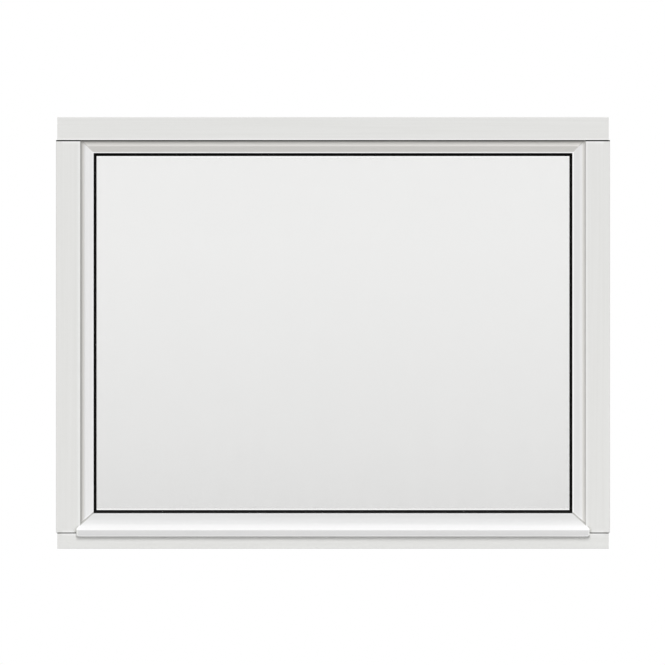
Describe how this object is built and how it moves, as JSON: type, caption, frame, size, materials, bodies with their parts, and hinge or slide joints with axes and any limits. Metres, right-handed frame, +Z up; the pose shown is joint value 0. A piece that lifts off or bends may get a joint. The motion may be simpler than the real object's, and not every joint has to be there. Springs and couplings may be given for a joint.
{
  "type": "fixed picture window",
  "caption": "Fixed timber picture window: a painted frame with moulded glazing beads, a bottom bead with a drip nose, black gaskets and a sealed glazing unit that does not open.",
  "frame": {"origin": "middle of the sill's underside, halfway through the frame's depth", "axes": "+X to the right seen from outside, +Y into the room, +Z up"},
  "size_m": [1.386, 0.1259, 1.08],
  "materials": {
    "painted_timber": "opaque off-white paint, low sheen",
    "glass": "clear, polished",
    "gasket": "black, matt",
    "spacer": "dark grey warm-edge bar, matt",
    "setting_block": "moulded, matt"
  },
  "bodies": {
    "root": {"bead_bottom": "painted_timber", "bead_left": "painted_timber", "bead_right": "painted_timber", "bead_top": "painted_timber", "frame_head": "painted_timber", "frame_jamb_left": "painted_timber", "frame_jamb_right": "painted_timber", "frame_sill": "painted_timber", "gasket_inner_bottom": "gasket", "gasket_inner_left": "gasket", "gasket_inner_right": "gasket", "gasket_inner_top": "gasket", "gasket_outer_bottom": "gasket", "gasket_outer_left": "gasket", "gasket_outer_right": "gasket", "gasket_outer_top": "gasket", "pane_inner": "glass", "pane_middle": "glass", "pane_outer": "glass", "setting_block_left": "setting_block", "setting_block_right": "setting_block", "spacer_inner_bottom": "spacer", "spacer_inner_left": "spacer", "spacer_inner_right": "spacer", "spacer_inner_top": "spacer", "spacer_outer_bottom": "spacer", "spacer_outer_left": "spacer", "spacer_outer_right": "spacer", "spacer_outer_top": "spacer"}
  },
  "joints": []
}
